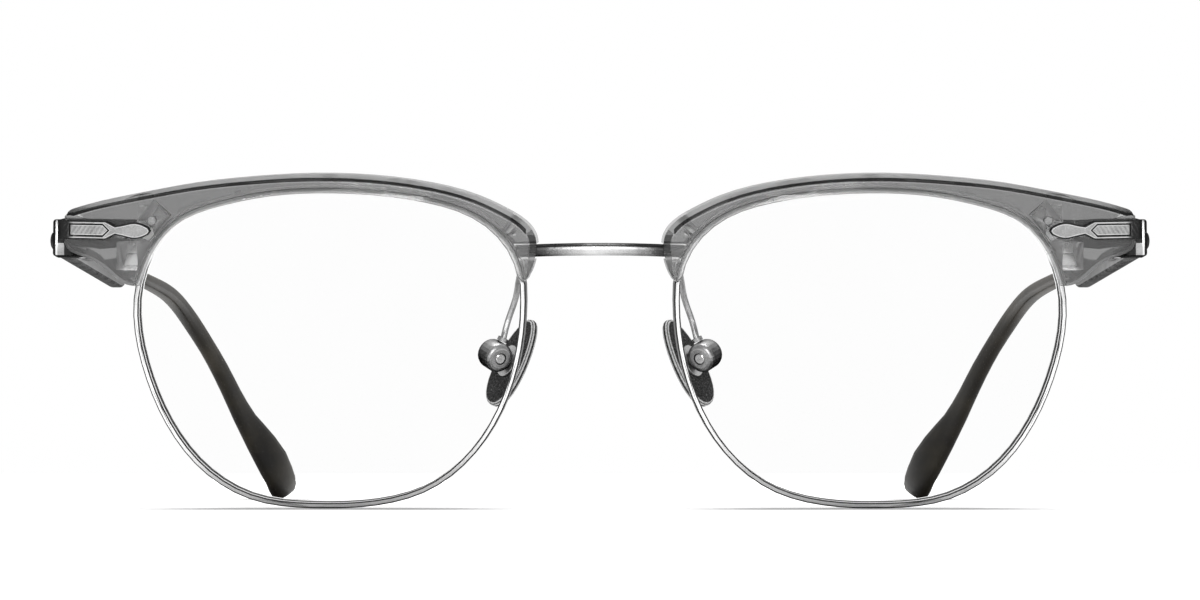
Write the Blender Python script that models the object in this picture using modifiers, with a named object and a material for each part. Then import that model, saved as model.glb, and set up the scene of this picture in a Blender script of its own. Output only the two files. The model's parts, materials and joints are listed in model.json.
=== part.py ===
"""Combination eyeglass frame: acetate brows over thin metal eyewires, with folding temples.

The worn frame has +X to the wearer's left, +Y backwards from the face of the frame and +Z up.
Its zero is midway between the lenses, at the height of their centres, on the front of the eyewire.
An eye frame sits at each lens centre: X outwards to the temple, Y back, Z up. Everything on the
left is modelled once, and mirrored to the right. Last, the whole frame is stood on a table.
"""
import math

import bpy
import bmesh
import numpy as np
from mathutils import Matrix, Vector

mm = 0.001
degree = math.pi / 180

# Clearances
fit_gap = 0.15 * mm
slim_gap = 0.1 * mm
running_gap = 0.08 * mm
overrun = 3.0 * mm
weld_distance = 0.001 * mm

# The front as a whole
window_width = 50.2 * mm
window_height = 40.6 * mm
nose_width = 20.9 * mm
base_curve_radius = 160.0 * mm
face_wrap = 4.5 * degree
front_tilt = 9.6 * degree

# The clear window inside the eyewire, as shares of its half width and half height, from the split
# at the temple side over the top to the nose, and back underneath
window_shares = (
    (0.928, 0.596), (0.799, 0.785), (0.559, 0.909), (0.280, 0.978), (0.006, 0.998),
    (-0.306, 0.979), (-0.538, 0.934), (-0.770, 0.833), (-0.924, 0.661), (-0.990, 0.470),
    (-0.999, 0.317), (-0.976, -0.011), (-0.906, -0.312), (-0.758, -0.629), (-0.510, -0.885),
    (-0.211, -0.988), (0.100, -1.004), (0.395, -0.960), (0.657, -0.774), (0.821, -0.522),
    (0.953, -0.143), (1.000, 0.300),
)

# Eyewire: a channel with a V groove for the lens
wire_height = 0.75 * mm
wire_depth = 2.5 * mm
wire_edge_round = 0.18 * mm
groove_depth = 0.42 * mm
groove_mouth = 1.2 * mm
wire_steps = 72

# Lens
lens_thickness = 1.6 * mm
lens_bevel_height = 0.3 * mm
lens_steps = 48
lens_ring_shares = (0.72, 0.36)

# Closing blocks at the split
closing_width = 3.6 * mm
closing_upper_height = 1.3 * mm
closing_lower_height = 1.55 * mm
closing_front = 0.3 * mm
closing_screw_radius = 0.42 * mm
closing_screw_head_radius = 0.75 * mm
closing_screw_head_height = 0.45 * mm
closing_screw_outward = 2.1 * mm
closing_screw_end_cover = 0.35 * mm

# Brow
brow_front = 1.2 * mm
brow_back = 2.6 * mm
brow_lip = 1.05 * mm
brow_bevel_width = 0.8 * mm
brow_bevel_fade_steps = 5
bend_spacing = 5.5 * mm
brow_overhang = 10.05 * mm
brow_nose_cover = 2.1 * mm
brow_top_cover = 2.45 * mm
# The top edge from the temple end to the nose tip, and the lobe under the temple end, as shares of
# the brow's reach beyond the lens centre (towards the temple or the nose) and of its height
brow_top_shares = (
    (1.000, 0.745), (0.990, 0.770), (0.965, 0.789), (0.880, 0.826), (0.720, 0.878),
    (0.510, 0.939), (0.285, 0.979), (0.060, 0.999), (-0.213, 0.989), (-0.498, 0.945),
    (-0.717, 0.873), (-0.853, 0.797), (-0.943, 0.728), (-0.990, 0.655), (-1.000, 0.600),
    (-0.996, 0.545), (-0.978, 0.455), (-0.955, 0.398),
)
brow_nose_tip_shares = ((-0.941, 0.383), (-0.912, 0.418))
brow_lobe_shares = (
    (0.727, 0.351), (0.753, 0.357), (0.790, 0.385), (0.835, 0.441), (0.870, 0.479),
    (0.912, 0.507), (0.960, 0.530), (0.990, 0.560), (1.000, 0.590),
)
brow_steps_per_span = 3

# Lugs that hold the brow on the wire
brow_lug_width = 2.8 * mm
brow_lug_thickness = 0.8 * mm
brow_lug_far_end_shares = (0.8785, 0.8818)
brow_lug_angle = 129.0 * degree
brow_screw_from_end = 1.9 * mm
brow_screw_radius = 0.5 * mm
brow_screw_head_radius = 0.95 * mm
brow_screw_head_height = 0.4 * mm
brow_screw_depth = 1.8 * mm
nasal_lug_width = 1.0 * mm
nasal_lug_length = 2.2 * mm
nasal_lug_front = 1.0 * mm
nasal_lug_thickness = 0.8 * mm

# Front plaque
plaque_level_share = 0.668
plaque_thickness = 0.6 * mm
plaque_height = 2.44 * mm
plaque_end_gap = 0.3 * mm
plaque_corner_radius = 0.9 * mm
plaque_body_length = 6.75 * mm
plaque_taper_length = 1.3 * mm
plaque_neck_height = 1.16 * mm
plaque_neck_to_leaf = 2.55 * mm
plaque_leaf_height = 2.12 * mm
plaque_leaf_to_tip = 2.3 * mm
plaque_cheek_share = 0.82
plaque_nose_shares = (0.86, 0.46)
plaque_edge_bevel = 0.14 * mm
panel_from_end = 1.75 * mm
panel_from_taper = 0.4 * mm
panel_point_length = 0.8 * mm
panel_height = 1.5 * mm
panel_depth = 0.15 * mm
rivet_radius = 0.45 * mm
rivet_head_radius = 0.8 * mm
rivet_head_height = 0.3 * mm
inner_rivet_from_end = 5.35 * mm
outer_rivet_from_end = 2.75 * mm

# Bridge
bridge_height = 1.55 * mm
bridge_depth = 2.0 * mm
bridge_below_window_top = 7.8 * mm
bridge_arch = 0.4 * mm
bridge_forward_bow = 0.45 * mm
bridge_back_of_front = 1.0 * mm
bridge_round = 0.35 * mm
bridge_steps = 16
bridge_into_wires = 2.05 * mm

# Hinge: the pin stands upright in the worn frame, set from the outer end of the end piece's arm
hinge_inwards = 1.71 * mm
hinge_behind = 4.6 * mm
hinge_below = 1.39 * mm
knuckle_radius = 1.0 * mm
hinge_pin_radius = 0.45 * mm
hinge_height = 4.6 * mm
middle_knuckle_height = 1.6 * mm
hinge_head_radius = 0.8 * mm
hinge_head_height = 0.4 * mm
hinge_web_grip = 0.5 * mm
screw_slot_width = 0.22 * mm
screw_slot_depth = 0.18 * mm

# End piece
arm_thickness = 0.8 * mm
arm_length = 10.8 * mm
arm_below_plaque = 2.3 * mm
arm_above_plaque = 1.1 * mm
block_cover = 0.15 * mm
block_outside_pin = 0.6 * mm
block_width = 2.7 * mm
block_ahead_of_pin = 1.4 * mm
block_depth = 3.3 * mm
block_bevel = 0.35 * mm
stud_radius = 1.15 * mm
stud_dome_height = 0.42 * mm
stud_shank_radius = 0.45 * mm
stud_shank_length = 1.0 * mm
stud_ahead_of_pin = 3.0 * mm
stud_below_pin = 0.3 * mm

# Temple blade and hinge leaf
blade_thickness = 1.8 * mm
blade_front_height = 4.7 * mm
blade_rear_height = 6.3 * mm
blade_neck_height = 2.0 * mm
blade_length = 42.5 * mm
blade_rounding_length = 6.5 * mm
blade_beside_knuckle = 0.3 * mm
blade_bevel = 0.3 * mm
blade_end_shares = (0.985, 0.84)
temple_lean = 2.5 * degree
leaf_thickness = 0.5 * mm
leaf_height = 3.6 * mm
leaf_behind_knuckle = 0.35 * mm
leaf_length = 9.0 * mm

# Acetate tip and its core, along a centre line that starts at the blade's end
tip_length = 88.0 * mm
tip_drop = 30.4 * mm
tip_inwards = 12.2 * mm
# Along the line: shares of the length, the drop and the way inwards
tip_line_shares = (
    (0.000, 0.000, 0.00), (0.181, 0.002, 0.00), (0.331, 0.002, 0.00), (0.459, 0.015, 0.01),
    (0.623, 0.111, 0.09), (0.757, 0.371, 0.37), (0.861, 0.640, 0.63), (0.947, 0.864, 0.92),
    (1.000, 1.000, 1.00),
)
# Along the tip: shares of its length, its greatest height and its greatest thickness
tip_height = 10.0 * mm
tip_thickness = 3.0 * mm
tip_section_shares = (
    (0.000, 0.170, 0.600), (0.006, 0.220, 0.733), (0.185, 0.220, 0.733), (0.390, 0.250, 0.800),
    (0.555, 0.315, 0.800), (0.637, 0.320, 0.717), (0.698, 0.360, 0.733), (0.760, 0.410, 0.717),
    (0.822, 0.490, 0.733), (0.873, 0.620, 0.867), (0.924, 0.780, 1.000), (0.955, 0.910, 1.000),
    (0.975, 0.990, 1.050), (0.990, 1.000, 0.950), (1.000, 0.930, 0.600),
)
# The paddle's end leans, so that it is cut nearly level
tip_end_lean = 35.0 * degree
tip_end_from_share = 0.86
tip_rings = 30
tip_sides = 14
tip_squareness = 0.8
core_radius = 0.5 * mm
core_length_share = 0.80
core_end_room_share = 0.01
core_points = 26

# Nose pads: a screw's box on a bent wire, with the pad hung on the screw
pad_box_outwards = 3.49 * mm
pad_box_back = 9.5 * mm
pad_box_level = -0.2 * mm
pad_face_direction = (-0.74, 0.62, -0.28)
pad_long_direction = (0.45, 0.12, -0.885)
pad_box_radius = 2.0 * mm
pad_box_length = 3.2 * mm
pad_box_round = 0.7 * mm
pad_slot_room_along = 0.43 * mm
pad_slot_room_behind = 0.33 * mm
pad_screw_radius = 0.45 * mm
pad_screw_head_radius = 0.72 * mm
pad_screw_head_height = 0.35 * mm
pad_plate_from_box = 0.12 * mm
pad_plate_thickness = 0.35 * mm
pad_plate_half_length = 2.2 * mm
pad_plate_half_width = 1.7 * mm
pad_tongue_width = 0.9 * mm
pad_tongue_wall = 0.37 * mm
pad_thickness = 1.05 * mm
pad_half_length = 6.3 * mm
pad_half_width = 3.1 * mm
pad_edge_bevel = 0.25 * mm
pad_steps = 32
pad_top_narrowing_share = 0.16
pad_roundness = 0.9
pad_arm_radius = 0.42 * mm
pad_arm_collar_radius = 0.72 * mm
pad_arm_collar_height = 0.5 * mm
pad_arm_below_bridge = 1.9 * mm
pad_arm_standoff = 2.1 * mm
# Its bends: outwards from the nose side of the wires, and back; and the share of its height there
pad_arm_bends = ((0.25 * mm, 6.6 * mm), (0.75 * mm, 8.6 * mm), (1.75 * mm, 9.35 * mm))
pad_arm_height_shares = (0.865, 0.653, 0.406)
pad_arm_points = 14

# Worked out from the sizes above
half_window_width = window_width / 2
half_window_height = window_height / 2
half_nose_width = nose_width / 2
lens_centre = half_window_width + half_nose_width
seat_offset = wire_height + fit_gap
lens_middle_depth = wire_depth / 2
brow_outer_reach = half_window_width + brow_overhang
brow_nose_reach = half_window_width + brow_nose_cover
brow_top_height = half_window_height + brow_top_cover
closing_back = brow_back - slim_gap
brow_lug_front = brow_back - brow_lug_thickness - slim_gap * 2
bridge_level = half_window_height - bridge_below_window_top
bridge_blank_reach = half_nose_width + bridge_into_wires
bridge_top = bridge_level + bridge_arch + bridge_height / 2
nasal_lug_level = bridge_top + fit_gap * 2 + nasal_lug_width / 2
plaque_level = brow_top_height * plaque_level_share
plaque_outer_end = brow_outer_reach + plaque_end_gap + plaque_thickness
plaque_body_end = plaque_outer_end - plaque_body_length
plaque_neck_end = plaque_body_end - plaque_taper_length
plaque_leaf_centre = plaque_neck_end - plaque_neck_to_leaf
plaque_tip = plaque_leaf_centre - plaque_leaf_to_tip
inner_rivet_place = plaque_outer_end - inner_rivet_from_end
outer_rivet_place = plaque_outer_end - outer_rivet_from_end
arm_outer_end = plaque_outer_end + fit_gap
arm_front = brow_back + fit_gap
block_height = hinge_height + block_cover * 2
block_inner_face = block_outside_pin
block_outer_face = block_inner_face + block_width
block_back_face = -block_ahead_of_pin
block_front_face = block_back_face - block_depth
blade_front = block_back_face + slim_gap * 2
blade_end = blade_front + blade_length
blade_offset = knuckle_radius + blade_beside_knuckle + blade_thickness / 2
pad_tongue_half_height = pad_screw_radius + pad_tongue_wall
pad_slot_half_height = pad_tongue_half_height + pad_slot_room_along
pad_slot_depth = pad_tongue_half_height + pad_slot_room_behind
pad_slot_width = pad_tongue_width + fit_gap * 2
pad_plate_from_screw = pad_box_radius + pad_plate_from_box
pad_box_centre = (half_nose_width + pad_box_outwards, pad_box_back, pad_box_level)


def empty(name, parent=None, matrix=Matrix.Identity(4)):
    """A named datum that other pieces hang from."""
    datum = bpy.data.objects.new(name, None)
    datum.empty_display_size = wire_depth
    bpy.context.scene.collection.objects.link(datum)
    datum.parent = parent
    datum.matrix_local = matrix
    return datum


def make_material(name, colour, roughness, metallic=0.0, alpha=1.0):
    material = bpy.data.materials.new(name)
    material.use_nodes = True
    shader = material.node_tree.nodes["Principled BSDF"]
    shader.inputs["Base Color"].default_value = (*colour, 1.0)
    shader.inputs["Roughness"].default_value = roughness
    shader.inputs["Metallic"].default_value = metallic
    shader.inputs["Alpha"].default_value = alpha
    return material


# Curves and outlines

def smooth_points(points, per_span, closed=False):
    """Points on a smooth curve through the given ones, with per_span steps between neighbours."""
    points = np.array(points, float)
    count = len(points)
    steps = np.roll(points, -1, axis=0) - points
    lengths = np.linalg.norm(steps, axis=1)
    system = np.zeros((count, count))
    wanted = np.zeros_like(points)
    for i in range(count):
        before, after = (i - 1) % count, (i + 1) % count
        if closed or 0 < i < count - 1:
            system[i, before] = lengths[i]
            system[i, i] = 2 * (lengths[before] + lengths[i])
            system[i, after] = lengths[before]
            wanted[i] = 3 * (steps[before] * lengths[i] / lengths[before]
                             + steps[i] * lengths[before] / lengths[i])
        else:
            inner, step, length = (1, steps[0], lengths[0]) if i == 0 else (i - 1, steps[i - 1], lengths[i - 1])
            system[i, i] = 2
            system[i, inner] = 1
            wanted[i] = 3 * step / length
    slopes = np.linalg.solve(system, wanted)
    curve = []
    for i in range(count if closed else count - 1):
        after = (i + 1) % count
        for t in np.linspace(0, 1, per_span, endpoint=False):
            curve.append(points[i] * (1 + 2 * t) * (1 - t) ** 2 + slopes[i] * lengths[i] * t * (1 - t) ** 2
                         + points[after] * t * t * (3 - 2 * t) - slopes[after] * lengths[i] * t * t * (1 - t))
    if not closed:
        curve.append(points[-1])
    return np.array(curve)


def evenly_spaced(points, count, start=0.0, end=None):
    """count points along a line of points, evenly spaced by length from start to end."""
    points = np.array(points, float)
    along = np.concatenate([[0.0], np.cumsum(np.linalg.norm(np.diff(points, axis=0), axis=1))])
    places = np.linspace(start, along[-1] if end is None else end, count)
    return np.stack([np.interp(places, along, column) for column in points.T], axis=1)


def window_line(offset, count, trim=0.0):
    """The window's edge moved outwards by offset, from the split round to the split again.

    trim is the length left out at each end; with no trim the line is a closed loop of count points.
    """
    shares = np.array(window_shares) * (half_window_width, half_window_height)
    fine = smooth_points(shares, per_span=12, closed=True)
    tangents = np.roll(fine, -1, axis=0) - np.roll(fine, 1, axis=0)
    tangents /= np.linalg.norm(tangents, axis=1)[:, None]
    outwards = np.stack([tangents[:, 1], -tangents[:, 0]], axis=1)
    moved = fine + outwards * offset
    moved = np.vstack([moved, moved[:1]])
    if trim:
        whole = np.linalg.norm(np.diff(moved, axis=0), axis=1).sum()
        return evenly_spaced(moved, count, trim, whole - trim)
    return evenly_spaced(moved, count + 1)[:-1]


def window_point(height, side, offset=0.0):
    """Where the window's edge, moved outwards by offset, is at a height: side 1 temple, -1 nose."""
    line = window_line(offset, count=400)
    near = [p for p in line if p[0] * side > 0]
    return float(min(near, key=lambda p: abs(p[1] - height))[0])


def window_normal(height, side):
    """The outward direction of the window's edge at a height."""
    inner = Vector((window_point(height, side), height))
    step = wire_height
    above = Vector((window_point(height + step, side), height + step))
    along = (above - inner).normalized()
    return Vector((along.y, -along.x)) * side


# Meshes: each maker returns mesh data in its own frame

def take_mesh(piece):
    """The evaluated mesh of an object, welded, with the object removed."""
    bpy.context.view_layer.update()
    evaluated = piece.evaluated_get(bpy.context.evaluated_depsgraph_get())
    mesh = bpy.data.meshes.new_from_object(evaluated)
    mesh.transform(piece.matrix_world)
    bpy.data.objects.remove(piece)
    shape = bmesh.new()
    shape.from_mesh(mesh)
    bmesh.ops.remove_doubles(shape, verts=shape.verts, dist=weld_distance)
    bmesh.ops.dissolve_limit(shape, angle_limit=0.2 * degree, verts=shape.verts, edges=shape.edges)
    bmesh.ops.recalc_face_normals(shape, faces=shape.faces)
    shape.to_mesh(mesh)
    shape.free()
    return mesh


def new_object(name, data):
    piece = bpy.data.objects.new(name, data)
    bpy.context.scene.collection.objects.link(piece)
    return piece


def flat_curve(points, closed=True):
    curve = bpy.data.curves.new("outline", "CURVE")
    curve.dimensions = "2D"
    spline = curve.splines.new("POLY")
    spline.points.add(len(points) - 1)
    for place, (x, y) in zip(spline.points, points):
        place.co = (x, y, 0.0, 1.0)
    spline.use_cyclic_u = closed
    return curve


FRONT_VIEW = Matrix.Rotation(math.pi / 2, 4, "X")
SIDE_VIEW = Matrix(((0, 0, 1, 0), (1, 0, 0, 0), (0, 1, 0, 0), (0, 0, 0, 1)))
TOP_VIEW = Matrix.Identity(4)


def prism(points, low, high, view=FRONT_VIEW):
    """A flat outline given a thickness from low to high.

    In front view the outline is (outwards, up) and the thickness runs back; in side view it is
    (back, up) and runs outwards; in top view it is (outwards, back) and runs up.
    """
    curve = flat_curve(points)
    curve.fill_mode = "BOTH"
    curve.extrude = (high - low) / 2
    middle = (high + low) / 2
    if view == FRONT_VIEW:
        middle = -middle
    mesh = take_mesh(new_object("plate", curve))
    mesh.transform(view @ Matrix.Translation((0, 0, middle)))
    return mesh


def box(x, y, z):
    """A box between two limits on each axis."""
    return prism([(x[0], y[0]), (x[1], y[0]), (x[1], y[1]), (x[0], y[1])], z[0], z[1], TOP_VIEW)


def tube(points, radius, radii=None, sides=2):
    """A round wire along points, with filled ends; radii are factors on radius."""
    curve = bpy.data.curves.new("wire", "CURVE")
    curve.dimensions = "3D"
    curve.bevel_depth = radius
    curve.bevel_resolution = sides
    curve.use_fill_caps = True
    spline = curve.splines.new("POLY")
    spline.points.add(len(points) - 1)
    for place, point in zip(spline.points, points):
        place.co = (*point, 1.0)
    for place, factor in zip(spline.points, radii or [1.0] * len(points)):
        place.radius = factor
    return take_mesh(new_object("wire", curve))


def turned(profile, steps=20):
    """A round piece about Z from a profile of (radius, height), listed from top to bottom."""
    mesh = bpy.data.meshes.new("turned")
    points = [(radius, 0.0, height) for radius, height in profile]
    mesh.from_pydata(points, [(i, i + 1) for i in range(len(points) - 1)], [])
    piece = new_object("turned", mesh)
    screw = piece.modifiers.new("turn", "SCREW")
    screw.steps = steps
    screw.render_steps = steps
    screw.use_merge_vertices = True
    screw.merge_threshold = weld_distance
    return take_mesh(piece)


def pin(radius, low, high, steps=20):
    """A plain round pin or hole cutter about Z."""
    return turned([(0, high), (radius, high), (radius, low), (0, low)], steps)


def headed_pin(radius, low, high, head_radius, head_height):
    """A pin about Z with a head on its top."""
    return turned([(0, high + head_height), (head_radius - head_height / 3, high + head_height),
                   (head_radius, high + head_height * 2 / 3), (head_radius, high),
                   (radius, high), (radius, low), (0, low)])


def loft(rings):
    """A skin over rings of points, closed by a face at each end."""
    shape = bmesh.new()
    rows = [[shape.verts.new(point) for point in ring] for ring in rings]
    for row, following in zip(rows, rows[1:]):
        for i in range(len(row)):
            after = (i + 1) % len(row)
            shape.faces.new((row[i], row[after], following[after], following[i]))
    shape.faces.new(rows[0])
    shape.faces.new(rows[-1])
    bmesh.ops.recalc_face_normals(shape, faces=shape.faces)
    mesh = bpy.data.meshes.new("loft")
    shape.to_mesh(mesh)
    shape.free()
    return mesh


def combine(mesh, other, operation):
    body = new_object("body", mesh)
    tool = new_object("tool", other)
    boolean = body.modifiers.new("boolean", "BOOLEAN")
    boolean.operation = operation
    boolean.object = tool
    result = take_mesh(body)
    bpy.data.objects.remove(tool)
    return result


def cut(mesh, *cutters):
    for cutter in cutters:
        mesh = combine(mesh, cutter, "DIFFERENCE")
    return mesh


def join(mesh, *others):
    for other in others:
        mesh = combine(mesh, other, "UNION")
    return mesh


def moved(mesh, matrix):
    mesh.transform(matrix)
    return mesh


def bevelled(mesh, width, wanted=lambda edge: True, segments=1, sharpest=30 * degree):
    """The mesh with its sharp edges bevelled, where wanted(edge) is true."""
    shape = bmesh.new()
    shape.from_mesh(mesh)
    edges = [edge for edge in shape.edges if edge.calc_face_angle(0.0) > sharpest and wanted(edge)]
    bmesh.ops.bevel(shape, geom=edges, offset=width, segments=segments, profile=0.5,
                    affect="EDGES", clamp_overlap=True)
    shape.to_mesh(mesh)
    shape.free()
    return mesh


def sliced(mesh):
    """The mesh with extra edges across and up it, so that it can bend to the base curve."""
    shape = bmesh.new()
    shape.from_mesh(mesh)
    for place in np.arange(-brow_outer_reach, arm_outer_end, bend_spacing):
        for direction in ((1, 0, 0), (0, 0, 1)):
            bmesh.ops.bisect_plane(shape, geom=shape.verts[:] + shape.edges[:] + shape.faces[:],
                                   plane_co=Vector(direction) * place, plane_no=direction, dist=weld_distance)
    bmesh.ops.triangulate(shape, faces=shape.faces)
    shape.to_mesh(mesh)
    shape.free()
    return mesh


def sag(outwards, up):
    """How far the base curve lies back at a place beside the lens centre."""
    return (outwards ** 2 + up ** 2) / (2 * base_curve_radius)


def base_curved(mesh):
    """The mesh bent back from the lens centre to the frame's base curve."""
    for vertex in mesh.vertices:
        vertex.co.y += sag(vertex.co.x, vertex.co.z)
    return mesh


# The datums, and the two objects made from each left-hand mesh

for old in list(bpy.data.objects):
    bpy.data.objects.remove(old)

parts = bpy.data.collections.new("eyeglass_frame")
bpy.context.scene.collection.children.link(parts)

FRONT_IN_WORN = Matrix.Rotation(front_tilt, 4, "X")
EYE_IN_FRONT = Matrix.Translation((lens_centre, 0, 0)) @ Matrix.Rotation(face_wrap, 4, "Z")
stance = empty("stance")
front = empty("front", stance, FRONT_IN_WORN)
MIRROR = Matrix.Scale(-1, 4, (1, 0, 0))


def datum_pair(name, parent, matrix):
    """A datum on the left and its mirror image on the right."""
    left = empty(f"left_{name}", parent, matrix)
    right = empty(f"right_{name}", parent, MIRROR @ matrix @ MIRROR)
    return left, right


pad_face = Vector(pad_face_direction).normalized()
pad_across = Vector(pad_long_direction).cross(pad_face).normalized()
pad_along = pad_face.cross(pad_across)
pad_turn = Matrix((pad_across, pad_along, pad_face)).transposed().to_4x4()

eye_in_worn = FRONT_IN_WORN @ EYE_IN_FRONT
worn_in_eye = eye_in_worn.inverted()
arm_end_depth = arm_front + arm_thickness / 2 + sag(arm_outer_end, plaque_level)
arm_end = eye_in_worn @ Vector((arm_outer_end, arm_end_depth, plaque_level))
hinge_place = arm_end + Vector((-hinge_inwards, hinge_behind, -hinge_below))

eyes = datum_pair("eye", front, EYE_IN_FRONT)
hinges = datum_pair("hinge", stance, Matrix.Translation(hinge_place))
pads = datum_pair("pad", stance, Matrix.Translation(pad_box_centre) @ pad_turn)
bpy.context.view_layer.update()
hinge_in_eye = worn_in_eye @ hinges[0].matrix_local
eye_in_hinge = hinge_in_eye.inverted()


def add_piece(name, mesh, parent, material):
    mesh.name = name
    mesh.materials.clear()
    mesh.materials.append(material)
    mesh.shade_smooth()
    mesh.set_sharp_from_angle(angle=35 * degree)
    piece = bpy.data.objects.new(name, mesh)
    parts.objects.link(piece)
    piece.parent = parent
    return piece


def add_pair(name, mesh, datums, material):
    """The left piece and its mirror image, each on its own datum."""
    other = mesh.copy()
    other.transform(MIRROR)
    other.flip_normals()
    add_piece(f"left_{name}", mesh, datums[0], material)
    add_piece(f"right_{name}", other, datums[1], material)


silver = make_material("antique_silver", (0.42, 0.42, 0.42), 0.35, metallic=1.0)
steel = make_material("screw_steel", (0.62, 0.62, 0.63), 0.3, metallic=1.0)
acetate = make_material("grey_acetate", (0.36, 0.36, 0.37), 0.2)
tortoise = make_material("dark_tortoise", (0.03, 0.028, 0.022), 0.25)
pad_finish = make_material("dark_pad", (0.055, 0.055, 0.055), 0.55)
clear = make_material("clear_lens", (0.95, 0.96, 0.97), 0.02, alpha=0.12)


# Eyewire, lens and closing blocks

def rim_mesh():
    """The eyewire: its channel section swept round the window, open at the split."""
    inner, outer, soft = 0.0, wire_height, wire_edge_round
    middle, mouth = wire_depth / 2, groove_mouth / 2
    section = [
        (inner, soft), (soft, 0.0), (outer - soft, 0.0), (outer, soft),
        (outer, wire_depth - soft), (outer - soft, wire_depth), (soft, wire_depth), (inner, wire_depth - soft),
        (inner, middle + mouth), (groove_depth, middle), (inner, middle - mouth),
    ]
    profile = new_object("section", flat_curve([(out, -back) for out, back in section]))
    path = flat_curve(window_line(0.0, wire_steps, trim=slim_gap), closed=False)
    path.bevel_mode = "OBJECT"
    path.bevel_object = profile
    path.use_fill_caps = True
    mesh = take_mesh(new_object("rim", path))
    bpy.data.objects.remove(profile)
    return base_curved(moved(mesh, FRONT_VIEW))


def lens_mesh():
    """The lens: a thin disc of the window's shape with a V ridge round its edge."""
    front_face = lens_middle_depth - lens_thickness / 2
    back_face = lens_middle_depth + lens_thickness / 2
    edge = window_line(-slim_gap, lens_steps)
    ridge = window_line(lens_bevel_height - slim_gap, lens_steps)
    rings = [(edge * share, front_face) for share in reversed(lens_ring_shares)]
    rings += [(edge, front_face), (ridge, lens_middle_depth), (edge, back_face)]
    rings += [(edge * share, back_face) for share in lens_ring_shares]
    return base_curved(loft([[(out, back, up) for out, up in line] for line, back in rings]))


split_height = half_window_height * window_shares[0][1]
closing_inner = window_point(split_height, 1, seat_offset)
closing_screw_place = closing_inner + closing_screw_outward


def closing_outline(bottom, top):
    """A block's outline between two heights, from the wire outwards."""
    return [(window_point(bottom, 1, seat_offset), bottom), (closing_inner + closing_width, bottom),
            (closing_inner + closing_width, top), (window_point(top, 1, seat_offset), top)]


closing_top = split_height + slim_gap / 2 + closing_upper_height
closing_bottom = split_height - slim_gap / 2 - closing_lower_height
closing_screw_end = closing_top - closing_screw_end_cover


def on_closing_screw(mesh):
    """A piece modelled about Z, set on the closing screw's line."""
    return moved(mesh, Matrix.Translation((closing_screw_place, (closing_front + closing_back) / 2, 0)))


def closing_block(bottom, top):
    block = prism(closing_outline(bottom, top), closing_front, closing_back)
    hole = pin(closing_screw_radius + running_gap, closing_bottom - overrun, closing_screw_end + slim_gap)
    return base_curved(cut(block, on_closing_screw(hole)))


def closing_screw():
    head_up = headed_pin(closing_screw_radius, -closing_screw_end, -closing_bottom + slim_gap,
                         closing_screw_head_radius, closing_screw_head_height)
    return base_curved(on_closing_screw(moved(head_up, Matrix.Rotation(math.pi, 4, "X"))))


# Brow and what lies in its back

def brow_blank():
    """The brow before milling: top edge with its bevel, nose tip, across the window, and the lobe."""
    def places(shares):
        return np.array([(out * (brow_outer_reach if out > 0 else brow_nose_reach), up * brow_top_height)
                         for out, up in shares])

    top = smooth_points(places(brow_top_shares), brow_steps_per_span)
    nose_tip = places(brow_nose_tip_shares)
    lobe = smooth_points(places(brow_lobe_shares), brow_steps_per_span)
    inside = np.array([nose_tip[-1] + (overrun, 0), lobe[0] - (overrun + wire_height, 0)])

    # The bevel's edge on the front: the top edge moved in, less and less towards its two ends
    tangents = np.gradient(top, axis=0)
    inwards = np.stack([-tangents[:, 1], tangents[:, 0]], axis=1) / np.linalg.norm(tangents, axis=1)[:, None]
    from_end = np.minimum(np.arange(len(top)), np.arange(len(top))[::-1])
    fade = np.minimum(from_end / brow_bevel_fade_steps, 1.0)
    bevelled_top = top + inwards * (brow_bevel_width * fade)[:, None]
    rest = np.vstack([nose_tip, inside, lobe])
    rings = ((bevelled_top, -brow_front), (top, brow_bevel_width - brow_front), (top, brow_back))
    return loft([[(out, back, up) for out, up in np.vstack([edge, rest])] for edge, back in rings])


def on_back(mesh_axis_z):
    """A piece modelled about Z is laid with its top facing back."""
    return moved(mesh_axis_z, Matrix.Rotation(-math.pi / 2, 4, "X"))


lug_direction = Vector((math.cos(brow_lug_angle), math.sin(brow_lug_angle)))
lug_end = Vector((half_window_width * brow_lug_far_end_shares[0], half_window_height * brow_lug_far_end_shares[1]))
lug_length = (lug_end.y - closing_top) / lug_direction.y
brow_screw_place = lug_end - lug_direction * brow_screw_from_end


def lug_outline(grow):
    """The brow lug's strip, from its far end down to the closing block, grown by a clearance."""
    end = lug_end + lug_direction * grow
    start = lug_end - lug_direction * (lug_length + grow)
    across = Vector((lug_direction.y, -lug_direction.x)) * (brow_lug_width / 2 + grow)
    return [start + across, end + across, end - across, start - across]


nasal_lug_direction = window_normal(nasal_lug_level, -1)


def nasal_lug_outline(grow):
    """The nasal tab: it stands out from the wire across the brow's nose end."""
    root = Vector((window_point(nasal_lug_level, -1), nasal_lug_level)) + nasal_lug_direction * wire_height / 2
    tip = root + nasal_lug_direction * (wire_height / 2 + nasal_lug_length + grow)
    across = Vector((-nasal_lug_direction.y, nasal_lug_direction.x)) * (nasal_lug_width / 2 + grow)
    return [root - across, tip - across, tip + across, root + across]


def seat_prism(offset, front_depth, back_depth):
    """A block of the window's own shape, to cut what the wire or the opening takes away."""
    return prism(list(map(tuple, window_line(offset, wire_steps))), front_depth, back_depth)


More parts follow.
